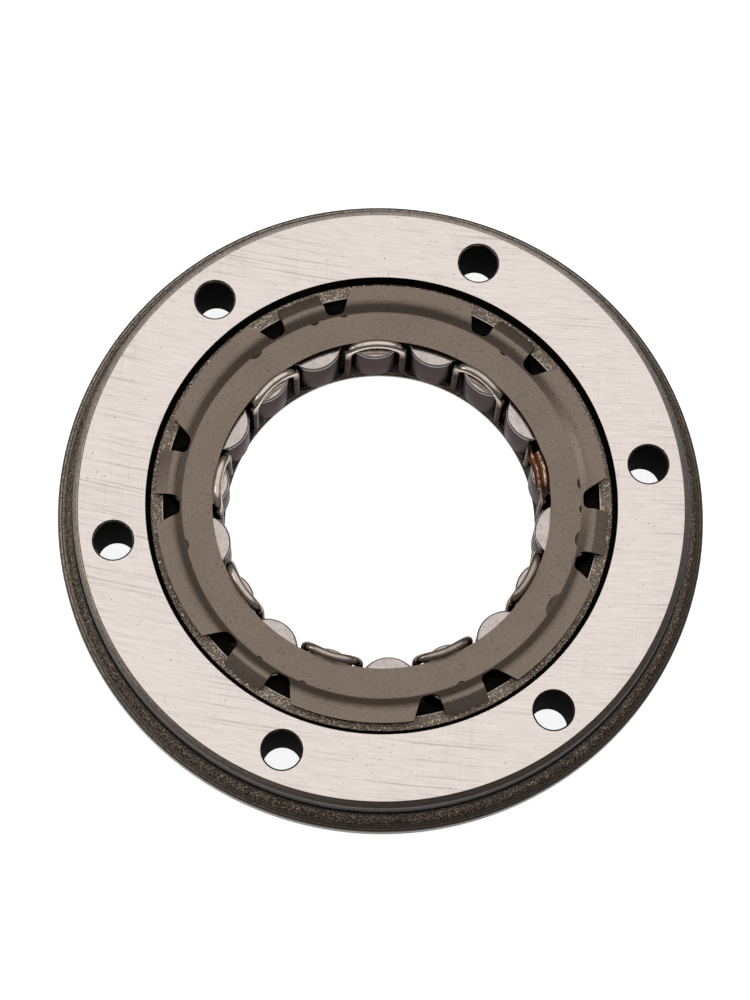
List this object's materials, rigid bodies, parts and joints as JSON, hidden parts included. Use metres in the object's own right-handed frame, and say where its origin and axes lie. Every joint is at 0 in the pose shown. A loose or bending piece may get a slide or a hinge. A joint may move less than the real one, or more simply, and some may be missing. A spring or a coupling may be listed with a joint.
{
  "type": "starter clutch",
  "caption": "One-way roller clutch: flanged outer race with inner ramps, loose rollers held by an accordion spring, and a stamped side plate.",
  "frame": {"origin": "centre of the rear face, on the axis of the clutch", "axes": "+Z along the clutch axis, out of the ground front face; +X to the right in the picture"},
  "size_m": [0.1076, 0.1076, 0.016],
  "materials": {
    "race_steel": "ground front face, dark forged rim",
    "plate_steel": "matte stamped sheet",
    "spring_wire": "bright drawn wire",
    "braze": "copper-brown braze",
    "roller_steel": "satin ground bearing steel"
  },
  "bodies": {
    "outer_race": {"outer_race": "race_steel", "side_plate": "plate_steel"},
    "spring": {"accordion_spring": "spring_wire", "braze_joint": "braze"},
    "roller_01": {"roller_01": "roller_steel"},
    "roller_02": {"roller_02": "roller_steel"},
    "roller_03": {"roller_03": "roller_steel"},
    "roller_04": {"roller_04": "roller_steel"},
    "roller_05": {"roller_05": "roller_steel"},
    "roller_06": {"roller_06": "roller_steel"},
    "roller_07": {"roller_07": "roller_steel"},
    "roller_08": {"roller_08": "roller_steel"},
    "roller_09": {"roller_09": "roller_steel"},
    "roller_10": {"roller_10": "roller_steel"},
    "roller_11": {"roller_11": "roller_steel"},
    "roller_12": {"roller_12": "roller_steel"},
    "roller_13": {"roller_13": "roller_steel"},
    "roller_14": {"roller_14": "roller_steel"},
    "roller_15": {"roller_15": "roller_steel"},
    "roller_16": {"roller_16": "roller_steel"},
    "roller_17": {"roller_17": "roller_steel"},
    "roller_18": {"roller_18": "roller_steel"}
  },
  "joints": [
    {"name": "wedge_travel", "type": "hinge", "parent": "outer_race", "child": "spring", "pos_m": [0, 0, 0], "axis": [0, 0, 1], "range_deg": [-2.5, 0], "stiffness_Nm_per_rad": 0.05},
    {"name": "roller_01_spin", "type": "hinge", "parent": "spring", "child": "roller_01", "pos_m": [0.02992, 0.0062, 0.0076], "axis": [0, 0, 1], "continuous": true},
    {"name": "roller_02_spin", "type": "hinge", "parent": "spring", "child": "roller_02", "pos_m": [0.02599, 0.01605, 0.0076], "axis": [0, 0, 1], "continuous": true},
    {"name": "roller_03_spin", "type": "hinge", "parent": "spring", "child": "roller_03", "pos_m": [0.01893, 0.02397, 0.0076], "axis": [0, 0, 1], "continuous": true},
    {"name": "roller_04_spin", "type": "hinge", "parent": "spring", "child": "roller_04", "pos_m": [0.00959, 0.029, 0.0076], "axis": [0, 0, 1], "continuous": true},
    {"name": "roller_05_spin", "type": "hinge", "parent": "spring", "child": "roller_05", "pos_m": [-0.00091, 0.03054, 0.0076], "axis": [0, 0, 1], "continuous": true},
    {"name": "roller_06_spin", "type": "hinge", "parent": "spring", "child": "roller_06", "pos_m": [-0.0113, 0.02839, 0.0076], "axis": [0, 0, 1], "continuous": true},
    {"name": "roller_07_spin", "type": "hinge", "parent": "spring", "child": "roller_07", "pos_m": [-0.02032, 0.02281, 0.0076], "axis": [0, 0, 1], "continuous": true},
    {"name": "roller_08_spin", "type": "hinge", "parent": "spring", "child": "roller_08", "pos_m": [-0.0269, 0.01448, 0.0076], "axis": [0, 0, 1], "continuous": true},
    {"name": "roller_09_spin", "type": "hinge", "parent": "spring", "child": "roller_09", "pos_m": [-0.03023, 0.00441, 0.0076], "axis": [0, 0, 1], "continuous": true},
    {"name": "roller_10_spin", "type": "hinge", "parent": "spring", "child": "roller_10", "pos_m": [-0.02992, -0.0062, 0.0076], "axis": [0, 0, 1], "continuous": true},
    {"name": "roller_11_spin", "type": "hinge", "parent": "spring", "child": "roller_11", "pos_m": [-0.02599, -0.01605, 0.0076], "axis": [0, 0, 1], "continuous": true},
    {"name": "roller_12_spin", "type": "hinge", "parent": "spring", "child": "roller_12", "pos_m": [-0.01893, -0.02397, 0.0076], "axis": [0, 0, 1], "continuous": true},
    {"name": "roller_13_spin", "type": "hinge", "parent": "spring", "child": "roller_13", "pos_m": [-0.00959, -0.029, 0.0076], "axis": [0, 0, 1], "continuous": true},
    {"name": "roller_14_spin", "type": "hinge", "parent": "spring", "child": "roller_14", "pos_m": [0.00091, -0.03054, 0.0076], "axis": [0, 0, 1], "continuous": true},
    {"name": "roller_15_spin", "type": "hinge", "parent": "spring", "child": "roller_15", "pos_m": [0.0113, -0.02839, 0.0076], "axis": [0, 0, 1], "continuous": true},
    {"name": "roller_16_spin", "type": "hinge", "parent": "spring", "child": "roller_16", "pos_m": [0.02032, -0.02281, 0.0076], "axis": [0, 0, 1], "continuous": true},
    {"name": "roller_17_spin", "type": "hinge", "parent": "spring", "child": "roller_17", "pos_m": [0.0269, -0.01448, 0.0076], "axis": [0, 0, 1], "continuous": true},
    {"name": "roller_18_spin", "type": "hinge", "parent": "spring", "child": "roller_18", "pos_m": [0.03023, -0.00441, 0.0076], "axis": [0, 0, 1], "continuous": true}
  ],
  "couplings": [
    {"joint": "roller_02_spin", "follows": "roller_01_spin", "ratio": 1},
    {"joint": "roller_03_spin", "follows": "roller_01_spin", "ratio": 1},
    {"joint": "roller_04_spin", "follows": "roller_01_spin", "ratio": 1},
    {"joint": "roller_05_spin", "follows": "roller_01_spin", "ratio": 1},
    {"joint": "roller_06_spin", "follows": "roller_01_spin", "ratio": 1},
    {"joint": "roller_07_spin", "follows": "roller_01_spin", "ratio": 1},
    {"joint": "roller_08_spin", "follows": "roller_01_spin", "ratio": 1},
    {"joint": "roller_09_spin", "follows": "roller_01_spin", "ratio": 1},
    {"joint": "roller_10_spin", "follows": "roller_01_spin", "ratio": 1},
    {"joint": "roller_11_spin", "follows": "roller_01_spin", "ratio": 1},
    {"joint": "roller_12_spin", "follows": "roller_01_spin", "ratio": 1},
    {"joint": "roller_13_spin", "follows": "roller_01_spin", "ratio": 1},
    {"joint": "roller_14_spin", "follows": "roller_01_spin", "ratio": 1},
    {"joint": "roller_15_spin", "follows": "roller_01_spin", "ratio": 1},
    {"joint": "roller_16_spin", "follows": "roller_01_spin", "ratio": 1},
    {"joint": "roller_17_spin", "follows": "roller_01_spin", "ratio": 1},
    {"joint": "roller_18_spin", "follows": "roller_01_spin", "ratio": 1}
  ]
}
